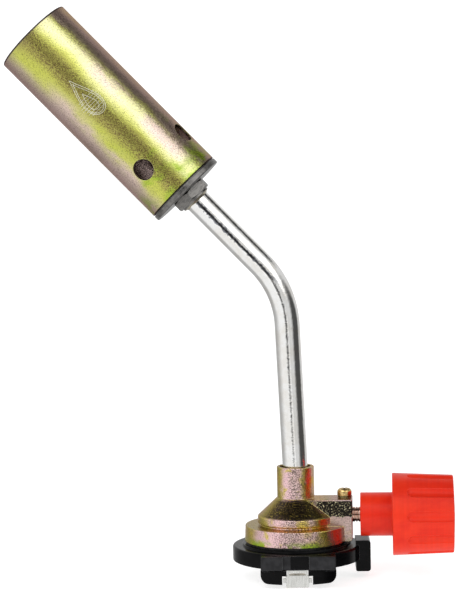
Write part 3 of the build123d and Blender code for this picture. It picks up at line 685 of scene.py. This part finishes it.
def on_barrel(along, round_, height=0.0):
    """Point on the barrel from its distance along it and round it from the front."""
    turn = round_ / BURNER_R
    out = FRONT * math.cos(turn) + BURNER_UPPER * math.sin(turn)
    return BURNER_REAR + BURNER_AXIS * along + out * (BURNER_R + height)


def engraved_line(points, width, verts, faces):
    """Add one thin line, drawn on the barrel, to a mesh under construction."""
    first = len(verts)
    for k, (a, b) in enumerate(points):
        before = points[max(k - 1, 0)]
        after = points[min(k + 1, len(points) - 1)]
        across = Vector((before[1] - after[1], after[0] - before[0])).normalized() * width / 2
        for side in (-1, 1):
            verts.append(on_barrel(a + side * across.x, b + side * across.y, 0.012 * MM))
    for k in range(len(points) - 1):
        i = first + 2 * k
        faces.append((i, i + 2, i + 3, i + 1))


def flame_outline(size, turn):
    """Point of a pointed drop, from its tip round its foot and back as the turn goes to 2 pi."""
    lean = 0.10 * size * math.sin(turn / 2) ** 4
    return size * -math.cos(turn), 0.62 * size * math.sin(turn) * math.sin(turn / 2) ** 1.6 + lean


def make_emblem():
    """Plain flame pictogram, scratched in outline and hatched, in place of any mark."""
    material, tree, shader, where = start("scratched_line")
    worn = noise(tree, where, 2600, 2)
    tone = ramp(tree, worn, [(0.36, (0.62, 0.60, 0.30)), (0.56, (0.95, 0.94, 0.80))])
    shine = ramp(tree, worn, [(0.3, 0.5), (0.7, 0.32)])
    relief = bump(tree, worn, 0.02 * MM)
    wire(tree, shader, Base_Color=tone, Metallic=1.0, Roughness=shine, Normal=relief)
    middle_along = 51 * MM
    middle_round = -1.0 * MM
    verts, faces = [], []
    # outlines, one in another, with the smallest moved towards the foot
    sizes = (9.0 * MM, 7.6 * MM, 4.2 * MM)
    steps = 72
    for size in sizes:
        drop = 2.4 * MM * (sizes[0] - size) / (sizes[0] - sizes[-1])
        line = []
        for k in range(steps + 1):
            along, round_ = flame_outline(size, 2 * math.pi * k / steps)
            line.append((middle_along - along - drop, middle_round + round_))
        engraved_line(line, 0.24 * MM, verts, faces)
    # hatching across the drop's round foot, within an oval
    lowest, spacing, steps = -7.2 * MM, 1.15 * MM, 16
    oval_middle, oval_half, oval_width = -3.2 * MM, 5.2 * MM, 5.0 * MM
    for k in range(7):
        level = lowest + spacing * k
        share = 1 - ((level - oval_middle) / oval_half) ** 2
        half = oval_width * math.sqrt(max(0.05, share))
        line = []
        for j in range(steps + 1):
            line.append((middle_along + level, middle_round + half * (2 * j / steps - 1)))
        engraved_line(line, 0.16 * MM, verts, faces)
    new_piece("flame_emblem", verts, faces, material)


def make_braze_bead():
    """Small uneven bead of braze where the gas tube enters the jet holder."""
    joint = BURNER_REAR - BURNER_AXIS * 7.2 * MM
    # radius from the tube's axis and height off the holder, in millimetres
    profile = ((6.0, 0.0), (5.75, 0.16), (5.4, 0.30), (5.15, 0.52), (5.02, 0.80))
    steps = 72
    verts, faces = [], []
    for k in range(steps):
        turn = 2 * math.pi * k / steps
        out = FRONT * math.cos(turn) + BURNER_UPPER * math.sin(turn)
        swell = 1 + 0.22 * math.sin(3 * turn + 0.6) + 0.12 * math.sin(7 * turn + 2.0)
        for radius, height in profile:
            reach = TUBE_R + (radius * MM - TUBE_R) * (0.75 + 0.25 * swell)
            verts.append(joint + out * reach - BURNER_AXIS * height * MM * swell)
    rows = len(profile)
    for k in range(steps):
        for j in range(rows - 1):
            a, b = k * rows + j, (k + 1) % steps * rows + j
            faces.append((a, b, b + 1, a + 1))
    material = plated_metal("braze", (0.62, 0.56, 0.42), (0.24, 0.21, 0.16), 0.35, (1, 1, 1))
    new_piece("braze_bead", verts, faces, material)


def turned_on_base(name, light, dark, roughness, pitch):
    """Metal turned about the base axis."""
    return turned_metal(name, light, dark, roughness, (0, 0, 0), UP, pitch)


def turned_on_burner(name, light, dark, roughness, pitch):
    """Metal turned about the burner's axis."""
    return turned_metal(name, light, dark, roughness, BURNER_REAR, BURNER_AXIS, pitch)


def paint_all():
    """Every CAD node gets the material of its kind."""
    paint(burner_steel(), "burner_tube")
    paint(body_casting(), "valve_body")
    paint(bright_tube(), "gas_tube")
    grey, dark_grey = (0.27, 0.26, 0.245), (0.15, 0.145, 0.14)
    steel = turned_on_burner("dark_steel", grey, dark_grey, 0.32, 0.35 * MM)
    paint(steel, "burner_end_plate", "jet_holder", "jet_lock_nut")
    # painted shade: the sleeve is near black, for the shaded gap round the tube at the neck's top
    gap_shade_grey, black = (0.16, 0.15, 0.14), (0.05, 0.05, 0.05)
    paint(turned_on_base("dark_ring", gap_shade_grey, black, 0.4, 0.3 * MM), "tube_sleeve")
    olive, dull = (0.30, 0.27, 0.12), (0.12, 0.11, 0.05)
    paint(turned_on_base("spring_washer", olive, dull, 0.3, 0.3 * MM), "stop_screw_washer")
    nickel = plated_metal("nickel_plate", (0.82, 0.82, 0.79), (0.66, 0.66, 0.63), 0.22)
    paint(nickel, "claw_plate", "base_plate", "base_plate_screws", "knob_washer", "knob_screw")
    spring = plated_metal("spring_steel", (0.06, 0.06, 0.06), (0.02, 0.02, 0.02), 0.4)
    paint(spring, "friction_washer")
    yellow, brown = (0.85, 0.62, 0.28), (0.42, 0.28, 0.10)
    paint(turned_on_base("brass", yellow, brown, 0.2, 0.25 * MM), "stop_screw", "inlet_connector")
    paint(turned_on_burner("jet_brass", yellow, brown, 0.25, 0.25 * MM), "gas_jet")
    rose, bronze = (0.90, 0.62, 0.50), (0.40, 0.22, 0.15)
    shaft = ((0, 0, SPINDLE_Z), (1, 0, 0))
    paint(turned_metal("coppery_brass", rose, bronze, 0.18, *shaft, 0.3 * MM), "spindle")
    paint(black_nylon(), "lock_ring")
    paint(red_plastic(), "knob")
    paint(black_rubber(), "tube_o_ring", "inlet_seal", "inlet_o_ring", "spindle_o_ring")
    paint(sintered_bronze(), "jet_filter", "inlet_filter")
    paint(heated_steel(), "flame_holder")


make_camera()
make_world()
make_floor()
make_key_light()
paint_all()
make_emblem()
make_braze_bead()
bpy.context.scene.view_settings.view_transform = "Standard"
